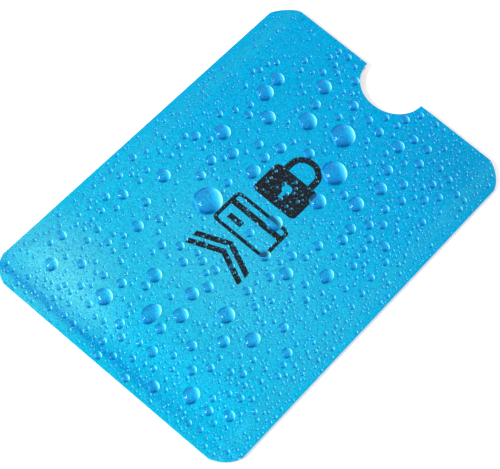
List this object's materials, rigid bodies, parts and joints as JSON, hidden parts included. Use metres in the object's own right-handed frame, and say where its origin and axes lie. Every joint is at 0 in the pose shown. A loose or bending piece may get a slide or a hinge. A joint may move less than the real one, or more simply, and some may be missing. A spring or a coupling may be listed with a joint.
{
  "type": "rfid card sleeve",
  "caption": "Flat laminated film sleeve for one bank card: foil-lined, folded along both long edges, heat-sealed across one end, with a half-round thumb notch in the open end.",
  "frame": {"origin": "middle of the flat back face, which the sleeve lies on", "axes": "+X across the sleeve to the glued edge, +Y along it to the open mouth, +Z out of the printed front"},
  "size_m": [0.061, 0.091, 0.0017],
  "materials": {
    "blue_film": "satin metallic blue film",
    "foil": "bright rolled foil",
    "liner": "smooth white coated paper",
    "glue": "cured hot-melt glue",
    "fused_seal": "fused heat-seal layer",
    "black_ink": "flat black ink"
  },
  "bodies": {
    "root": {"outer_film": "blue_film", "foil_shield": "foil", "inner_liner": "liner", "seam_glue": "glue", "end_seal": "fused_seal", "front_print": "black_ink"}
  },
  "joints": []
}
